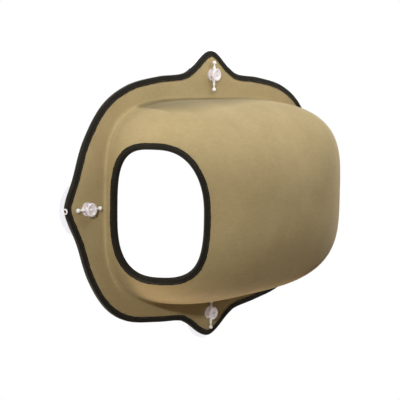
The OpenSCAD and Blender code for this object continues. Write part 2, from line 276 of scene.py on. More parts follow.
DOME_START = math.asin((BEND / POD_DEPTH) ** (DOME_POWER / 2))
print("the pod starts", round(math.degrees(DOME_START), 2), "degrees up its run")

# %% [markdown]
# ## One skin of foam and cloth
#
# Flange and pod are one sheet, so they are one surface here too. It starts at the
# middle of the front, runs down the pod, round the bend, out to the edge, round the
# edge and back inside to the middle. The stations lie evenly along the outline, and
# every ring keeps their directions, so nothing twists.
#
# Tape that is sewn on pulls the foam in. Beside it the skin dips by a little over half
# a millimetre and rises again within a fingertip, with small puckers on its way.

# %% Skin
STATIONS, DOME_RINGS, BEND_RINGS, FLANGE_RINGS = 560, 58, 8, 15
EDGE_CROWDING = 1.3
RUN_DIRECTION, RUN_STEPS, LAST_CLIMB = 0.6, 2000, math.radians(89.4)
TAPE_WIDTH, ENTRY_TAPE_WIDTH, TAPE_THICK = 10 * MM, 8 * MM, 1 * MM
DIP_MM, PUCKER_MM, DIP_REACH = 0.62, 0.25, 7 * MM

outline, outline_length = even_ring(edge_curve, STATIONS)
inward = inward_of(outline)
directions = np.arctan2(outline[:, 1] + POD_DROP, outline[:, 0])
along = np.arange(STATIONS) * outline_length / STATIONS


def ripples(distance, total, lengths, seed):
    """Mean of sines of about the given wave lengths, from -1 to 1.

    Each wave fits into the total a whole number of times, so the sum closes on itself.
    """
    rng = np.random.default_rng(seed)
    waves = [
        np.sin(2 * np.pi * (round(total / w) * distance / total + rng.random())) for w in lengths
    ]
    return sum(waves) / len(waves)


def even_climbs(count):
    """Climbs that divide the pod's run from its start to its middle into equal lengths."""
    climb = np.linspace(DOME_START, LAST_CLIMB, RUN_STEPS)
    length = run_length(dome_point(np.full(RUN_STEPS, RUN_DIRECTION), climb))
    return np.interp(np.linspace(0, length[-1], count), length, climb)


def flange_rings(foot, s, shares, outwards):
    """Rings from the bend's foot to the edge, at distance s from the pane.

    They dip beside the tape, by a bell curve of the distance from it.
    """
    rim = outline + TAPE_THICK * inward
    plan = foot[None] + (rim - foot)[None] * shares[:, None, None]
    reach = np.linalg.norm(plan - rim[None], axis=2) + TAPE_THICK
    pucker = DIP_MM + PUCKER_MM * ripples(along, outline_length, (9 * MM, 13 * MM, 31 * MM), 3)
    dip = pucker * MM * np.exp(-((np.maximum(reach - TAPE_WIDTH, 0) / DIP_REACH) ** 2))
    return np.stack([plan[..., 0], -(s - outwards * dip), plan[..., 1]], -1)


climbs = even_climbs(DOME_RINGS)
turns = np.linspace(0, math.pi / 2, BEND_RINGS)
shares = 1 - (1 - np.linspace(0, 1, FLANGE_RINGS)) ** EDGE_CROWDING
outer_dome = np.array([dome_point(directions, q) for q in climbs[::-1]])
inner_dome = np.array([dome_point(directions, q, -FOAM) for q in climbs])
outer_bend = np.array([bend_point(directions, t, BEND) for t in turns[:0:-1]])
inner_bend = np.array([bend_point(directions, t, BEND + FOAM) for t in turns[1:]])
front_foot = bend_point(directions, 0.0, BEND)[:, [0, 2]]
front = flange_rings(front_foot, FLANGE_FRONT, shares, 1)
rear = flange_rings(front_foot, FLANGE_BACK, shares, -1)[::-1]
skin_points = np.concatenate([outer_dome, outer_bend, front, rear, inner_bend, inner_dome])
print("skin table:", skin_points.shape)

# %% [markdown]
# The cloth's map is flat on the flange. On the pod it is measured from the middle of
# the front along the surface, as a sheet lies when it is pressed over a dome, so the
# knit keeps its size there and has no pole.

# %% Skin map and mesh
flat_map = skin_points[..., [0, 2]]
steps = np.linalg.norm(np.diff(outer_dome, axis=0), axis=2)
reach = np.concatenate([np.zeros((1, STATIONS)), np.cumsum(steps, axis=0)]) + np.linalg.norm(
    outer_dome[0] - outer_dome[0].mean(axis=0), axis=1
)
compass = np.stack([np.cos(directions), np.sin(directions)], -1)
dome_map = reach[..., None] * compass[None]
polar_map = flat_map.copy()
polar_map[: len(climbs)] = dome_map
polar_map[-len(climbs) :] = dome_map[::-1]


def with_first_column(table):
    """The table with its first column once more at its end, where the map closes."""
    return np.concatenate([table, table[:, :1]], axis=1)


flat_corners, polar_corners = (face_corners(with_first_column(m)) for m in (flat_map, polar_map))
on_dome = np.zeros(len(skin_points) - 1, bool)
on_dome[: len(climbs) - 1] = on_dome[-(len(climbs) - 1) :] = True
skin_cloth = np.where(on_dome[:, None, None, None], polar_corners, flat_corners)
skin = surface("pod_skin", skin_points, skin_cloth, caps=True)

# %% [markdown]
# Two float attributes travel with the points, and the cloth's material reads them by
# name. The first marks the bend at the left, painted paler as a highlight of the light
# from the front left. The second marks the pod's top beside the flange, painted darker
# as shade. That band reaches furthest forward at the left and runs out to the right, so
# its depth and its strength are given at a few places along x.

# %% Painted highlight and shade on the skin
CREASE_HIGHLIGHT_RING, CREASE_HIGHLIGHT_RINGS, CREASE_HIGHLIGHT_END, CREASE_HIGHLIGHT_FADE = 3.0, 1.1, 46, 18
TOP_SHADE_FROM, TOP_SHADE_RISE, TOP_SHADE_STEEPNESS = 0.1, 2 * MM, 1.25
# Places along x with the depth at which the painted shade ends, in mm, and with its strength
TOP_SHADE_END = [(-195, 1), (-180, 76), (-145, 102), (-45, 84), (30, 66), (110, 44), (175, 20)]
TOP_SHADE_SHARE = [(-192, 0), (-182, 0.9), (-130, 1), (0, 1), (110, 0.45), (190, 0)]

# The bend at the left gets a paler line, a painted highlight of the light from the front left
spread = np.arange(len(skin_points)) - (len(climbs) + CREASE_HIGHLIGHT_RING)
off_left = np.degrees(np.abs(np.angle(-np.exp(1j * directions))))
uneven = 0.8 + 0.2 * ripples(along, outline_length, (40 * MM, 90 * MM), 5)
leftness = np.clip((CREASE_HIGHLIGHT_END - off_left) / CREASE_HIGHLIGHT_FADE, 0, 1) ** 2 * uneven
painted_crease_highlight = np.exp(-((spread / CREASE_HIGHLIGHT_RINGS) ** 2))[:, None] * leftness[None]

# The pod's top beside the flange gets a darker band, which is painted shade
x, depth, z = skin_points[..., 0], -skin_points[..., 1] - FLANGE_FRONT, skin_points[..., 2]
end_x, end_depth = np.array(TOP_SHADE_END).T * MM
share_x, share = np.array(TOP_SHADE_SHARE).T
rise = np.clip(depth / TOP_SHADE_RISE, 0, 1)
fall = np.clip(TOP_SHADE_STEEPNESS * (1 - (depth / np.interp(x, end_x, end_depth)) ** 2), 0, 1)
painted_top_shade = rise * fall * np.interp(x, share_x * MM, share) * (z > TOP_SHADE_FROM)
painted_top_shade[len(climbs) + len(turns) :] = 0
for mark_name, values in (("painted_crease_highlight", painted_crease_highlight), ("painted_top_shade", painted_top_shade)):
    mark = skin.data.attributes.new(mark_name, "FLOAT", "POINT")
    mark.data.foreach_set("value", np.concatenate([values.ravel(), [0, 0]]))
    print(mark_name, "points:", int((values > 0.3).sum()))

# %% [markdown]
# ## The entry and the cup holes
#
# The entry is cut through the curved left end, square to the foam. Its outline is a
# superellipse too, drawn on the end of the pod, with a fullness of its own for each of
# its four corners. Tape on it keeps one width along the surface, so a point beside the
# cut is found with the surface's own direction square to the cut, and not in a flat
# side view. The four necks of the cups pass through round holes. Boolean modifiers cut
# all five, and their result is kept as the mesh. A cut leaves faces with many sides, so
# the mesh is split into even triangles, which keeps thin slivers out of it.

# %% Cutters
ENTRY_WIDTH, ENTRY_HEIGHT, ENTRY_OUT, ENTRY_DROP = 131.5 * MM, 212 * MM, 86.5 * MM, 3 * MM
FRONT_TOP, BACK_TOP, BACK_LOW, FRONT_LOW = 2.5, 3.3, 2.7, 2.9
CUP_REACH = {"right": (0.298, 0), "top": (0, 0.2135), "left": (-0.298, 0), "bottom": (0, -0.2135)}
HOLE_RADIUS, HOLE_SIDES, DRILL_ENDS = 9.05 * MM, 64, (-0.03, 0.01)
FINE_ANGLES, CUT_STATIONS, CUT_MARGIN = 1440, 180, 4 * MM
CUTTER_LEFT, CUTTER_RIGHT, NUDGE = (-0.33, 0, 0), (-0.08, 0, 0), 0.01


def end_point(depth, z, height):
    """Point of the pod's left end, depth in front of the flange and z from its middle.

    It is where fullness^p + (depth/D)^p = 1, solved for x, and lies height off the face.
    """
    n = np.where(z >= 0, UPPER_POWER, LOWER_POWER)
    room = (1 - (depth / POD_DEPTH) ** DOME_POWER) ** (n / DOME_POWER) - (np.abs(z) / POD_B) ** n
    x = -POD_A * room ** (1 / n)
    place = np.stack([x, -FLANGE_FRONT - depth, z - POD_DROP], -1)
    return place + np.asarray(height)[..., None] * dome_normal(x, z, depth)


def entry_cut(angle):
    """The cut as (depth, z).

    These are half its width times cos^(2/p) and half its height times sin^(2/p), with
    the signs of cos and sin kept.
    """
    c, s = np.cos(angle), np.sin(angle)
    front, rear = np.where(s >= 0, FRONT_TOP, FRONT_LOW), np.where(s >= 0, BACK_TOP, BACK_LOW)
    p = np.where(c >= 0, front, rear)
    u, v = (np.sign(q) * np.abs(q) ** (2 / p) for q in (c, s))
    return ENTRY_OUT + ENTRY_WIDTH / 2 * u, ENTRY_HEIGHT / 2 * v - ENTRY_DROP


def entry_point(angle, out, height):
    """Point out metres outside the cut along the pod's face and height off it.

    The way out is the cross product of the cut's direction and the face's normal.
    """
    depth, z = entry_cut(angle)
    before, after, here, above = (
        end_point(*entry_cut(angle + turn), np.zeros_like(angle) + rise)
        for turn, rise in ((-NUDGE, 0), (NUDGE, 0), (0, 0), (0, MM))
    )
    away = np.cross(after - before, above - here)
    away /= np.linalg.norm(away, axis=-1, keepdims=True)
    return end_point(depth - out * away[..., 1], z + out * away[..., 2], height)


fine_angles = np.linspace(0, 2 * np.pi, FINE_ANGLES, endpoint=False)
entry_line = entry_point(fine_angles, 0.0, 0 * fine_angles)
entry_line_length = even_ring(entry_line, 8)[1]


def even_entry_angles(count):
    """Angles that divide the entry's edge into equal lengths."""
    length = run_length(np.vstack([entry_line, entry_line[:1]]))
    angles = np.linspace(0, 2 * np.pi, FINE_ANGLES + 1)
    return np.interp(np.arange(count) * length[-1] / count, length, angles)


print("entry edge in mm:", round(1000 * entry_line_length))

# %% Cut the skin
cut_angles = even_entry_angles(CUT_STATIONS)[::-1]
near = entry_point(cut_angles, 0.0, np.full(CUT_STATIONS, CUT_MARGIN))
far = entry_point(cut_angles, 0.0, np.full(CUT_STATIONS, -FOAM - CUT_MARGIN))
cutter_ends = near * (0, 1, 1) + CUTTER_LEFT, far * (0, 1, 1) + CUTTER_RIGHT
cutter_rings = np.array([cutter_ends[0], near, far, cutter_ends[1]])
entry_cutter = surface("entry_cutter", cutter_rings, np.zeros((3, CUT_STATIONS, 4, 2)), caps=True)

circle = np.linspace(0, 2 * np.pi, HOLE_SIDES, endpoint=False)
ring = np.stack([HOLE_RADIUS * np.cos(circle), 0 * circle, HOLE_RADIUS * np.sin(circle)], -1)
cutters = [entry_cutter]
for side, (x, z) in CUP_REACH.items():
    drill = np.array([ring + (x, y, z) for y in DRILL_ENDS])
    cutters.append(surface(f"drill_{side}", drill, np.zeros((1, HOLE_SIDES, 4, 2)), caps=True))
for cutter in cutters:
    cut = skin.modifiers.new(cutter.name, "BOOLEAN")
    cut.operation, cut.object, cut.solver = "DIFFERENCE", cutter, "EXACT"
cut_mesh = baked(skin)
skin.modifiers.clear()
work = bmesh.new()
work.from_mesh(cut_mesh)
bmesh.ops.triangulate(work, faces=work.faces, quad_method="BEAUTY", ngon_method="BEAUTY")
work.to_mesh(cut_mesh)
work.free()
skin.data = cut_mesh
for cutter in cutters:
    bpy.data.objects.remove(cutter)
print("cut skin:", len(skin.data.polygons), "faces")

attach(skin, "pod")
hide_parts("pod_shell")

# %% [markdown]
# ## Binding tape
#
# Both bindings are the same black ribbed tape, folded over the raw edge of the foam
# and sewn through. A real one is never flat: it is pressed down in a groove under its
# stitches, puffs up between them and the fold, and puckers a little, most of all where
# it goes round a tight curve. One cross section is therefore written as a table of
# places across the tape and heights over the foam, and two sets of ripples bend it as
# it travels round the edge.

# %% Tape section
SEW_LINE, GROOVE_WIDTH, FLAP_INSET = 2.3 * MM, 0.9 * MM, 0.2 * MM
FLAP_STEPS_MM = (0.0, 0.25, 0.7, 1.3, 1.8, 2.3, 2.8, 3.4, 4.4, 5.8, 7.2, 8.4)
INSIDE_ROWS, FOLD_DEGREES = 4, np.linspace(90, -90, 9)[1:-1]


def tape_heights(across, width):
    """Height of the tape's face over the foam.

    It is pressed in at the stitches by a bell curve, and puffed beside the fold by a sine.
    """
    groove = np.exp(-(((width - SEW_LINE - across) / GROOVE_WIDTH) ** 2))
    puff = np.sin(np.clip(across / (width - SEW_LINE), 0, 1) * np.pi)
    return TAPE_THICK * (0.92 - 0.5 * groove + 0.35 * puff)


def tape_section(width, thickness):
    """Closed section as rows of (across, height, face), with its inside rows last.

    face is 1 on the front flap, -1 on the rear one and 0 in the fold.
    """
    flap = width - np.array(FLAP_STEPS_MM) * MM
    lift = tape_heights(flap, width)
    lift[:2] *= (0.35, 0.8)
    turn = FOLD_DEGREES * np.pi / 180
    half = thickness / 2 + tape_heights(flap[-1:], width)[0] * 0.97
    fold_across = flap[-1] * (1 - np.cos(turn) ** 0.8)
    fold_height = half * np.sign(np.sin(turn)) * np.abs(np.sin(turn)) ** 0.75 - thickness / 2
    front = [(a, h, 1) for a, h in zip(flap, lift)]
    fold = [(a, h, 0) for a, h in zip(fold_across, fold_height)]
    rear = [(a, -thickness - h, -1) for a, h in zip(flap[::-1], lift[::-1])]
    end = width - FLAP_INSET
    inside = [(end, -thickness, -1), (TAPE_THICK, -thickness, 0)]
    inside += [(TAPE_THICK, 0.0, 0), (end, 0.0, 1)]
    return np.array(front + fold + rear + inside)


def puckered(section, distance, total, strength, seed):
    """The section at every station, rippled: rings of (across, height)."""
    across, height, face = section.T[:, :, None]
    short = ripples(distance, total, (5.3 * MM, 7.1 * MM, 9.7 * MM), seed)
    long = ripples(distance, total, (17 * MM, 29 * MM, 53 * MM), seed + 1)
    back = ripples(distance, total, (6.1 * MM, 8.3 * MM), seed + 2)
    inner = np.clip(across / section[:, 0].max(), 0, 1)
    wave = np.where(face >= 0, short, back)
    outside = (height > 0) | (height < section[-3, 1])
    swing = outside * np.sign(height + FOAM / 2) * strength
    lift = swing * (0.22 * wave + 0.18 * long) * MM * (0.35 + inner)
    drift = outside * strength * (0.3 * long + 0.12 * wave) * MM * inner**3
    return across + drift + 0 * distance, height + lift


def tape(name, section, rings, distance, total):
    """Closed tape from rings of points.

    Its map runs along the tape and across its section, in metres. The section is drawn
    the other way round than the skin, so its faces are flipped to look outwards.
    """
    gap = np.linalg.norm(np.diff(section[:, :2], axis=0, append=section[:1, :2]), axis=1)
    v = np.concatenate([[0], np.cumsum(gap)])
    u = np.append(distance, total)
    table = np.stack(np.broadcast_arrays(u[None, :], v[:, None]), -1)
    made = surface(name, rings, face_corners(table), closed_rows=True)
    made.data.flip_normals()
    return made


# %% Flange binding
TAPE_STATIONS = 1000
rim_line, rim_length = even_ring(edge_curve, TAPE_STATIONS)
rim_distance = np.arange(TAPE_STATIONS) * rim_length / TAPE_STATIONS
flange_section = tape_section(TAPE_WIDTH, FOAM)
across, height = puckered(flange_section, rim_distance, rim_length, 1.0, 11)
plan = rim_line[None] + across[..., None] * inward_of(rim_line)[None]
flange_tape = tape(
    "flange_tape",
    flange_section,
    np.stack([plan[..., 0], -FLANGE_FRONT - height, plan[..., 1]], -1),
    rim_distance,
    rim_length,
)
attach(flange_tape, "pod")
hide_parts("flange_binding")

# %% Entry binding
ENTRY_STATIONS, LIP = 420, 0.3 * MM
entry_angles = even_entry_angles(ENTRY_STATIONS)[::-1]
entry_distance = np.arange(ENTRY_STATIONS) * entry_line_length / ENTRY_STATIONS
entry_thickness = FOAM + 4 * LIP
entry_section = tape_section(ENTRY_TAPE_WIDTH + TAPE_THICK + LIP, entry_thickness)
across, height = puckered(entry_section, entry_distance, entry_line_length, 0.9, 21)
out = across - TAPE_THICK - LIP
entry_tape = tape(
    "entry_tape",
    entry_section,
    np.array([entry_point(entry_angles, o, h + LIP) for o, h in zip(out, height)]),
    entry_distance,
    entry_line_length,
)
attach(entry_tape, "pod")
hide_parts("entry_binding")

# %% [markdown]
# ## Stitches
#
# A lockstitch shows as a row of short threads, each a little arched, that dive into
# the tape at both ends. One small capsule is worked out once and then carried to every
# place along the sewing line by plain arithmetic on arrays: a point at (a, b, c) of the
# capsule goes to the stitch's middle plus a, b and c times its own three directions.

# %% Stitch helper
STITCH, SEEN_SHARE, THREAD, STITCH_LIFT = 3.4 * MM, 0.86, 0.55 * MM, 0.12 * MM


def capsule(length, thick, sides=6, rings=5):
    """Points of an arched thread along its first axis, thickest in its middle, and its faces."""
    t = np.linspace(-1, 1, rings)
    swell = np.sqrt(np.clip(1.06 - t**2, 0, None)) * thick / 2
    turn = np.arange(sides) * 2 * np.pi / sides
    body = np.stack(
        [
            np.repeat(t * length / 2, sides),
            np.outer(swell, np.cos(turn)).ravel(),
            np.outer(swell, np.sin(turn)).ravel() - np.repeat(t**2, sides) * thick * 0.55,
        ],
        -1,
    )
    tip = length / 2 + thick / 4
    ends = np.array([[-tip, 0, -thick * 0.6], [tip, 0, -thick * 0.6]])
    a = np.arange((rings - 1) * sides)
    b = (a // sides) * sides + (a + 1) % sides
    faces = np.stack([a, b, b + sides, a + sides], -1).tolist()
    last = (rings - 1) * sides
    side = range(sides)
    faces += [[rings * sides, (s + 1) % sides, s] for s in side]
    faces += [[rings * sides + 1, last + s, last + (s + 1) % sides] for s in side]
    return np.vstack([body, ends]), faces


def stitches(name, middles, forwards, normals):
    """One mesh of all stitches; middles, forwards and normals hold one row for each."""
    thread, faces = capsule(STITCH * SEEN_SHARE, THREAD)
    forwards = forwards / np.linalg.norm(forwards, axis=1, keepdims=True)
    sideways = np.cross(normals, forwards)
    axes = np.stack([forwards, sideways, normals], axis=1)
    points = middles[:, None] + np.einsum("pk,nkc->npc", thread, axes)
    count, size = points.shape[:2]
    every = [[i + n * size for i in face] for n in range(count) for face in faces]
    made = add_mesh(name, points.reshape(-1, 3).tolist(), every)
    made.data.shade_smooth()
    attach(made, "pod")
    print(name, count, "stitches")
    return made


# %% Sew both bindings
def sewn_line(rings, section, front):
    """Points on the tape's face over its sewing line, read from the tape's own rings."""
    rows = np.flatnonzero(section[:-INSIDE_ROWS, 2] == (1 if front else -1))
    off_line = np.abs(section[rows, 0] - (section[:, 0].max() - SEW_LINE))
    return rings[rows[np.argmin(off_line)]]


threads = []
for name, piece, section in (
    ("flange", flange_tape, flange_section),
    ("entry", entry_tape, entry_section),
):
    table = np.empty(len(piece.data.vertices) * 3)
    piece.data.vertices.foreach_get("co", table)
    rings = table.reshape(len(section), -1, 3)
    for face, front in (("front", True), ("rear", False)):
        line = sewn_line(rings, section, front)
        other = sewn_line(rings, section, not front)
        _, total = even_ring(line, 8)
        count = round(total / STITCH)
        even, _ = even_ring(np.hstack([line, line - other]), count * 2)
        middles, normals = even[::2, :3], even[::2, 3:]
        normals = normals / np.linalg.norm(normals, axis=1, keepdims=True)
        forwards = np.roll(even[:, :3], -1, axis=0)[::2] - np.roll(even[:, :3], 1, axis=0)[::2]
        forwards -= (forwards * normals).sum(1, keepdims=True) * normals
        middles = middles + STITCH_LIFT * normals
        threads.append(stitches(f"{name}_stitches_{face}", middles, forwards, normals))

# %% [markdown]
# ## The pad
#
# The pad is a thin fleece cushion cut to the pod's floor, so its underside follows the
# curve of the floor. It starts as a table of points like the rest, a little smaller
# than it will be. Then Blender's Cloth blows it up with a soft pressure, which gives
# the drawn-in sides and the small creases beside the seam that no formula has, and a
# limit on how far each point moves keeps it in its place on the floor.

# %% Pad shape
PAD_LENGTH, PAD_DEPTH, PAD_CROWN, PAD_SEAM = 390 * MM, 118 * MM, 30 * MM, 9 * MM
PAD_OUT, FLOOR_GAP, PAD_STATIONS = 70 * MM, 0.6 * MM, 160
SHRINK, PAD_FACE, PAD_MOVE, PUFF, PUFF_FRAMES = 2.5 * MM, 4.5 * MM, 5 * MM, 3.0, 20
FLOOR_HALF, FLOOR_DEPTH = 0.24, 0.17


def floor_height(x, depth):
    """Height of the pod's floor at x and a depth in front of the flange.

    It is where the inner dome's fullness^p + (depth/D)^p = 1, solved for z.
    """
    run = (1 - (depth / (POD_DEPTH - FOAM)) ** DOME_POWER) ** (LOWER_POWER / DOME_POWER)
    room = run - (np.abs(x) / (POD_A - FOAM)) ** LOWER_POWER
    return -POD_DROP - (POD_B - FOAM) * room ** (1 / LOWER_POWER)


def pad_ring(share, height, shrink):
    """Ring of the pad at a share of its plan, a superellipse of power 4, height over the floor."""
    turn = np.arange(PAD_STATIONS) * 2 * np.pi / PAD_STATIONS
    u, v = (np.sign(q) * np.sqrt(np.abs(q)) for q in (np.cos(turn), np.sin(turn)))
    x = share * (PAD_LENGTH / 2 - shrink) * u
    depth = PAD_OUT + share * (PAD_DEPTH / 2 - shrink) * v
    return np.stack([x, -FLANGE_FRONT - depth, floor_height(x, depth) + FLOOR_GAP + height], -1)


def pad_points(shrink):
    """Rings from the middle of the underside out to the seam and back over the crown."""
    share = np.concatenate([np.linspace(0.06, 0.8, 9), [0.87, 0.92, 0.96, 0.985, 1.0]])
    seam = PAD_SEAM - shrink * 0.2
    under = seam * (1 - np.sqrt(np.clip(1 - share**8, 0, 1)))
    crown = seam + (PAD_CROWN - shrink - seam) * np.sqrt(np.clip(1 - share**4, 0, 1))
    rows = [pad_ring(w, h, shrink) for w, h in zip(share, under)]
    rows += [pad_ring(w, h, shrink) for w, h in zip(share[-2::-1], crown[-2::-1])]
    return np.array(rows)[:, ::-1]


start = pad_points(SHRINK)
pad = surface("floor_cushion", start, np.zeros((len(start) - 1, PAD_STATIONS, 4, 2)), caps=True)

# %% Puff the pad
def coordinates(mesh):
    """Table of the mesh's points."""
    flat = np.empty(len(mesh.vertices) * 3)
    mesh.vertices.foreach_get("co", flat)
    return flat.reshape(-1, 3)


remesh = pad.modifiers.new("even_faces", "REMESH")
remesh.mode, remesh.voxel_size = "VOXEL", PAD_FACE
bpy.context.view_layer.update()
pad.data = baked(pad)
pad.modifiers.clear()
calm = coordinates(pad.data)
cloth = pad.modifiers.new("puff", "CLOTH").settings
cloth.quality, cloth.mass = 5, 0.3
cloth.use_pressure, cloth.uniform_pressure_force = True, PUFF
cloth.effector_weights.gravity = 0
for frame_number in range(1, PUFF_FRAMES + 1):
    bpy.context.scene.frame_set(frame_number)
move = coordinates(baked(pad)) - calm
pad.modifiers.clear()
bpy.context.scene.frame_set(1)
far_moved = np.linalg.norm(move, axis=1, keepdims=True)
move *= np.minimum(1, PAD_MOVE / np.maximum(far_moved, 1e-9))
settled = calm + move
inside_x = np.clip(settled[:, 0], -FLOOR_HALF, FLOOR_HALF)
inside_depth = np.clip(-FLANGE_FRONT - settled[:, 1], 0, FLOOR_DEPTH)
lowest = floor_height(inside_x, inside_depth) + FLOOR_GAP
settled[:, 2] = np.maximum(settled[:, 2], lowest)
pad.data.vertices.foreach_set("co", settled.ravel())
print("pad moved by up to", round(1000 * float(far_moved.max()), 1), "mm before the limit")
rounder = pad.modifiers.new("rounder", "SUBSURF")
rounder.levels = rounder.render_levels = 1
pad.data.shade_smooth()
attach(pad, "pad")
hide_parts("floor_pad")

# %% [markdown]
# ## Materials as formulas
#
# A material is a graph, and graphs of maths nodes are hard to read. The class below
# wraps one output of a node, and Python's operators on it add the Math nodes, so a mask
# can be written as the formula that it is. Every other node goes through one method
# that takes its type, its settings and its inputs.

# %% Node helpers
class Wire:
    """An output of a node. Operators between wires and numbers add Math nodes."""

    def __init__(self, net, socket):
        self.net, self.socket = net, socket

    def maths(self, operation, *values):
        return self.net.node("Math", {"operation": operation}, dict(enumerate(values)))

    def __add__(self, other):
        return self.maths("ADD", self, other)

    def __radd__(self, other):
        return self.maths("ADD", other, self)

    def __sub__(self, other):
        return self.maths("SUBTRACT", self, other)

    def __mul__(self, other):
        return self.maths("MULTIPLY", self, other)

    def __rmul__(self, other):
        return self.maths("MULTIPLY", other, self)

    def sine(self):
        return self.maths("SINE", self)

    def clamped(self):
        return self.maths("MINIMUM", self.maths("MAXIMUM", self, 0.0), 1.0)

    def step(self, start, end):
        """0 below start, 1 above end and a smooth rise between them."""
        limits = {"Value": self, "From Min": start, "From Max": end}
        return self.net.node("MapRange", {"interpolation_type": "SMOOTHSTEP"}, limits)


class Net:
    """A new material's graph."""

    def __init__(self, name):
        self.material = bpy.data.materials.new(name)
        self.material.use_nodes = True
        self.tree = self.material.node_tree
        self.tree.nodes.clear()
        print("material", name)

    def node(self, kind, settings=None, values=None, output=0):
        """Adds a node, sets its settings, fills or links its inputs and returns one output."""
        made = self.tree.nodes.new("ShaderNode" + kind)
        for name, value in (settings or {}).items():
            setattr(made, name, value)
        for name, value in (values or {}).items():
            if isinstance(value, Wire):
                self.tree.links.new(value.socket, made.inputs[name])
            elif isinstance(value, tuple) and len(value) == 3 and made.inputs[name].type == "RGBA":
                made.inputs[name].default_value = (*value, 1)
            else:
                made.inputs[name].default_value = value
        return Wire(self, made.outputs[output]) if made.outputs else None

    def place(self, scale=(1, 1, 1)):
        """The piece's own place in metres, scaled."""
        where = self.node("TexCoord", output="Object")
        return self.node("Mapping", None, {"Vector": where, "Scale": scale})

    def noise(self, size, detail=2.0, rough=0.5, stretch=(1, 1, 1)):
        """Cloudy pattern from 0 to 1 whose patches are about size metres across."""
        inputs = {"Vector": self.place(stretch), "Scale": 1 / size}
        return self.node("TexNoise", None, inputs | {"Detail": detail, "Roughness": rough})

    def parts(self, vector):
        """The first two parts of a vector."""
        first = self.node("SeparateXYZ", None, {0: vector})
        return first, Wire(self, first.socket.node.outputs[1])

    def cloth_map(self):
        """The two directions of the cloth's own map, in metres."""
        return self.parts(self.node("UVMap", {"uv_map": "cloth"}))

    def mark(self, name):
        """A float attribute of the mesh's points."""
        return self.node("Attribute", {"attribute_name": name}, output="Fac")

    def mix(self, factor, one, two):
        return self.node("Mix", {"data_type": "RGBA"}, {0: factor, 6: one, 7: two}, output=2)

    def bump(self, height, strength, distance):
        sizes = {"Strength": strength, "Distance": distance}
        return self.node("Bump", None, {"Height": height} | sizes)

    def shader(self, **values):
        """Principled shader; each name is an input's, with its spaces as underscores."""
        inputs = {name.replace("_", " "): value for name, value in values.items()}
        return self.node("BsdfPrincipled", None, inputs)

    def finish(self, shader):
        self.node("OutputMaterial", None, {"Surface": shader})
        return self.material


def dress(piece, material):
    """Gives a piece one material."""
    if piece.data.materials:
        for slot_number in range(len(piece.data.materials)):
            piece.data.materials[slot_number] = material
    else:
        piece.data.materials.append(material)


# %% [markdown]
# ## Tan cloth
#
# The cloth is a fine brushed knit, matt with a faint bloom where it turns away. Seen
# close it has small loops in rows; from a step away it only looks soft and slightly
# cloudy. A paler highlight is painted on the bend at the left and a darker shade on the
# top beside the flange. Its tone is a sum of clouds and grain, and the grain one of
# fuzz, tufts, slubs and loops, each with its own weight.

# %% Tan cloth
def tan_cloth():
    net = Net("tan_knit")
    u, v = net.cloth_map()
    drift = net.noise(30 * MM, 2.0) * 0.4
    wales = (u * (2 * math.pi / (2.2 * MM)) + drift * 6.0).sine()
    courses = (v * (2 * math.pi / (1.9 * MM)) + wales * 0.9 + drift * 5.0).sine()
    loops = wales * 0.25 + courses * 0.25 + 0.5
    fuzz = net.noise(1.3 * MM, 3.0, 0.7)
    clouds = net.noise(55 * MM, 4.0, 0.6)
    slubs = net.noise(9 * MM, 2.0, 0.5, stretch=(1, 1, 2.5))
    tufts = net.noise(4 * MM, 2.0, 0.6)
    grain = (fuzz - 0.5) * 0.6 + (tufts - 0.5) * 0.4 + (slubs - 0.5) * 0.45 + (loops - 0.5) * 0.16
    tone = (0.5 + (clouds - 0.5) * 0.9 + grain).clamped()
    cloth = net.mix(tone, (0.340, 0.252, 0.126), (0.475, 0.362, 0.192))
    # Painted highlight on the bend at the left
    highlight_mask = net.mark("painted_crease_highlight") * (0.3 + 0.4 * net.noise(6 * MM, 2.0))
    pale = net.mix(highlight_mask.clamped(), cloth, (0.60, 0.48, 0.28))
    # Painted shade on the pod's top beside the flange
    top_shade_mask = net.mark("painted_top_shade") * (0.75 + 0.2 * net.noise(12 * MM, 2.0))
    colour = net.mix(top_shade_mask.clamped(), pale, (0.150, 0.115, 0.056))
    relief = net.bump(loops * 0.5 + fuzz * 0.8 + slubs * 0.5, 0.35, 0.35 * MM)
    rough = 0.84 + (fuzz - 0.5) * 0.16
    return net.finish(
        net.shader(
            Base_Color=colour,
            Roughness=rough,
            Normal=relief,
            Specular_IOR_Level=0.0,
            Sheen_Weight=0.3,
            Sheen_Roughness=0.4,
            Sheen_Tint=(1.0, 0.88, 0.68),
        )
    )


dress(skin, tan_cloth())

# %% [markdown]
# ## Black tape and thread
#
# Binding tape is woven with ribs across its length. The black isn't even: the ribs'
# crowns catch light, the grooves don't, and handling leaves a little grey lint. The
# thread is the same black, smoother and with a soft shine.

# %% Tape and thread
def ribbed_tape():
    net = Net("ribbed_tape")
    u, v = net.cloth_map()
    wobble = net.noise(14 * MM, 2.0)
    ribs = (u * (2 * math.pi / (1.25 * MM)) + wobble * 2.0).sine() * 0.5 + 0.5
    yarns = (v * (2 * math.pi / (0.9 * MM))).sine() * 0.5 + 0.5
    lint = net.noise(2.2 * MM, 4.0, 0.75)
    patches = net.noise(24 * MM, 3.0)
    tone = (ribs * 0.35 + yarns * 0.1 + (lint - 0.5) * 0.9 + (patches - 0.5) * 0.6 + 0.2).clamped()
    colour = net.mix(tone, (0.0080, 0.0064, 0.0045), (0.030, 0.025, 0.018))
    relief = net.bump(ribs * 0.7 + yarns * 0.2 + lint * 0.3, 0.5, 0.25 * MM)
    return net.finish(
        net.shader(
            Base_Color=colour,
            Roughness=0.72 + (lint - 0.5) * 0.2,
            Normal=relief,
            Specular_IOR_Level=0.06,
            Sheen_Weight=0.10,
            Sheen_Roughness=0.4,
        )
    )


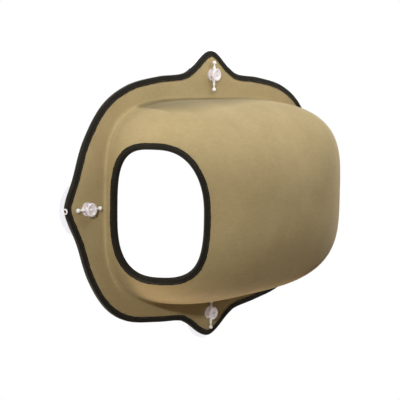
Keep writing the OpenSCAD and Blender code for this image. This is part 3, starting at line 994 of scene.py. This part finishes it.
def sewing_thread():
    net = Net("black_thread")
    plies = net.noise(0.8 * MM, 2.0, 0.6)
    colour = net.mix(plies, (0.010, 0.009, 0.007), (0.04, 0.036, 0.03))
    relief, rough = net.bump(plies, 0.3, 0.1 * MM), 0.5 + plies * 0.2
    return net.finish(net.shader(Base_Color=colour, Roughness=rough, Normal=relief))


tape_finish, thread_finish = ribbed_tape(), sewing_thread()
for piece in (flange_tape, entry_tape):
    dress(piece, tape_finish)
for piece in threads:
    dress(piece, thread_finish)

# %% [markdown]
# ## Fleece
#
# Fleece is a short pile that clumps into tufts a few millimetres across. Two sizes of
# noise make the tufts and the hairs, and a strong sheen gives the soft pale rim that
# pile has where it turns away from the eye.

# %% Fleece
def fleece():
    net = Net("pad_fleece_pile")
    tufts = net.noise(5 * MM, 3.0, 0.6)
    hairs = net.noise(0.9 * MM, 3.0, 0.8)
    clouds = net.noise(60 * MM, 3.0)
    tone = ((tufts - 0.5) * 1.4 + (hairs - 0.5) * 0.7 + (clouds - 0.5) * 0.5 + 0.5).clamped()
    colour = net.mix(tone, (0.30, 0.245, 0.16), (0.52, 0.45, 0.33))
    relief = net.bump(tufts * 0.8 + hairs * 0.5, 0.8, 1.5 * MM)
    return net.finish(
        net.shader(
            Base_Color=colour,
            Roughness=0.9 + (hairs - 0.5) * 0.1,
            Normal=relief,
            Sheen_Weight=0.6,
            Sheen_Roughness=0.5,
            Specular_IOR_Level=0.2,
        )
    )


dress(pad, fleece())

# %% [markdown]
# ## Clear vinyl and pin plastic
#
# A suction cup is one moulding of soft clear vinyl. Its thin disc lets nearly all light
# through, and its thick knob looks milky with a touch of violet. So the finish mixes a
# clear and a milky shader by how far a point is from the pane, which is how thick the
# cup is there. A very weak glow stands in for the daylight that thick vinyl passes on.
# The pins are harder, whiter and only a little clear.

# %% Vinyl and plastic
def clear_vinyl():
    net = Net("clear_vinyl_moulding")
    off_pane = net.parts(net.place())[1] * -1.0
    swirl = net.noise(6 * MM, 3.0, 0.6)
    specks = net.noise(1.2 * MM, 2.0, 0.7)
    relief = net.bump(swirl * 0.8 + specks * 0.2, 0.12, 0.6 * MM)
    rough = 0.07 + swirl * 0.1
    clear = net.shader(
        Base_Color=(0.91, 0.90, 0.94),
        Roughness=rough,
        Normal=relief,
        IOR=1.16,
        Transmission_Weight=0.97,
    )
    tint = net.mix(swirl, (0.90, 0.81, 0.85), (1.0, 0.96, 0.98))
    milky = net.shader(
        Base_Color=tint,
        Roughness=rough,
        Normal=relief,
        IOR=1.45,
        Transmission_Weight=0.5,
        Emission_Color=(1.0, 0.95, 0.97),
        Emission_Strength=0.06,
        Coat_Weight=0.6,
        Coat_Roughness=0.06,
    )
    thick = off_pane.step(4 * MM, 11 * MM)
    return net.finish(net.node("MixShader", None, {0: thick, 1: clear, 2: milky}))


def milky_plastic():
    net = Net("milky_pin_plastic")
    swirl = net.noise(4 * MM, 2.0, 0.6)
    scuffs = net.noise(0.9 * MM, 2.0, 0.7, stretch=(1, 1, 0.2))
    colour = net.mix(swirl, (0.96, 0.95, 0.96), (1.0, 0.99, 0.99))
    return net.finish(
        net.shader(
            Base_Color=colour,
            Roughness=0.16 + scuffs * 0.14,
            Normal=net.bump(scuffs, 0.1, 0.2 * MM),
            IOR=1.46,
            Transmission_Weight=0.12,
            Coat_Weight=0.6,
            Coat_Roughness=0.08,
        )
    )


vinyl, pin_plastic = clear_vinyl(), milky_plastic()
for node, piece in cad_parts.items():
    if node.startswith("suction_cup"):
        dress(piece, vinyl)
    if node.startswith("locking_pin"):
        dress(piece, pin_plastic)

# %% [markdown]
# ## Floor, light and a white surround
#
# The perch hangs in the air on its pane, so the floor lies well below it. A small low
# key lamp at the left throws the pod's shadow on the flange, soft lamps above light its
# upper side, one at the right gives the far edge its bright line, and the ones behind
# and below, where daylight would come through the pane, lift the underside. White
# behind the perch comes from what camera and glass rays see, not from more light on it.

# %% Lamps
LAMP_AIM = Vector((0, -0.05, 0))
# Azimuth and elevation in degrees, distance and size in metres, watts and colour
LAMPS = {
    "key": (-56, 16, 2.2, 0.12, 22.0, (0.98, 1.0, 0.97)),
    "above_left": (-30, 48, 0.8, 0.4, 1.0, (0.96, 1.0, 1.0)),
    "above_far_left": (-105, 25, 0.8, 0.4, 1.8, (0.98, 1.0, 1.0)),
    "above_right": (35, 50, 0.8, 0.4, 2.15, (0.96, 1.0, 1.0)),
    "above": (-20, 68, 0.7, 0.3, 1.3, (0.96, 1.0, 1.0)),
    "behind_below": (-138, -45, 0.85, 0.3, 4.8, (1.0, 0.84, 0.66)),
    "right": (90, 0, 0.8, 0.3, 2.5, (1.0, 0.94, 0.83)),
    "behind_above": (180, 55, 1.4, 0.8, 3.6, (1.0, 1.0, 1.0)),
    "behind_left": (-140, 20, 1.4, 0.8, 3.2, (1.0, 1.0, 1.0)),
    "behind_right": (140, 20, 1.4, 0.8, 2.4, (1.0, 1.0, 1.0)),
}


def add_lamp(name, azimuth, elevation, distance, size, watts, colour):
    """Square lamp at two angles and a distance, aimed at the middle of the perch."""
    away = toward(math.radians(azimuth), math.radians(elevation))
    lamp = bpy.data.lights.new(name, "AREA")
    lamp.size, lamp.energy, lamp.color = size, watts, colour
    holder = bpy.data.objects.new(name, lamp)
    holder.location = away * distance + LAMP_AIM
    holder.rotation_euler = (-away).to_track_quat("-Z", "Y").to_euler()
    holder.visible_camera = False
    bpy.context.collection.objects.link(holder)


for name, values in LAMPS.items():
    add_lamp(name, *values)

# %% World and floor
world = bpy.data.worlds.new("studio")
bpy.context.scene.world = world
world.use_nodes = True
tree = world.node_tree
tree.nodes.clear()
rays = tree.nodes.new("ShaderNodeLightPath")
seen = tree.nodes.new("ShaderNodeMath")
seen.operation, seen.use_clamp = "ADD", True
seen_too = tree.nodes.new("ShaderNodeMath")
seen_too.operation, seen_too.use_clamp = "ADD", True
white, dim = (tree.nodes.new("ShaderNodeBackground") for _ in range(2))
for background, colour, strength in (
    (white, (1, 1, 1, 1), 1.0),
    (dim, (1.0, 0.88, 0.74, 1), 0.06),
):
    background.inputs["Color"].default_value = colour
    background.inputs["Strength"].default_value = strength
choice, output = tree.nodes.new("ShaderNodeMixShader"), tree.nodes.new("ShaderNodeOutputWorld")
for source, target in (
    (rays.outputs["Is Camera Ray"], seen.inputs[0]),
    (rays.outputs["Is Glossy Ray"], seen.inputs[1]),
    (seen.outputs[0], seen_too.inputs[0]),
    (rays.outputs["Is Transmission Ray"], seen_too.inputs[1]),
    (seen_too.outputs[0], choice.inputs[0]),
    (dim.outputs[0], choice.inputs[1]),
    (white.outputs[0], choice.inputs[2]),
    (choice.outputs[0], output.inputs["Surface"]),
):
    tree.links.new(source, target)

FLOOR_SIDE, FLOOR_Z, FADE_FROM, FADE_TO = 6.0, -1.0, 1.0, 2.2
net = Net("pale_floor")
grain = net.noise(0.4, 3.0)
tint = net.mix(grain, (0.60, 0.53, 0.44), (0.68, 0.61, 0.52))
matt = net.shader(Base_Color=tint, Roughness=0.9)
glow = net.node("Emission", None, {"Color": (1, 1, 1), "Strength": 1.0})
paths = net.node("LightPath").socket.node
to_camera, glossy, through = (
    Wire(net, paths.outputs[f"Is {kind} Ray"]) for kind in ("Camera", "Glossy", "Transmission")
)
away = net.node("VectorMath", {"operation": "LENGTH"}, {0: net.place()}, output="Value")
bleached = (away.step(FADE_FROM, FADE_TO) * 0.22 + 0.78) * (to_camera + glossy + through).clamped()
floor_finish = net.finish(net.node("MixShader", None, {0: bleached, 1: matt, 2: glow}))
quarters = ((-1, -1), (1, -1), (1, 1), (-1, 1))
corners = [(FLOOR_SIDE * a, FLOOR_SIDE * b, FLOOR_Z) for a, b in quarters]
floor = add_mesh("floor", corners, [(0, 1, 2, 3)])
dress(floor, floor_finish)

# %% [markdown]
# ## Finish
#
# The view transform stays plain, so a colour renders as it is written.

# %% Plain view transform
bpy.context.scene.view_settings.view_transform = "Standard"
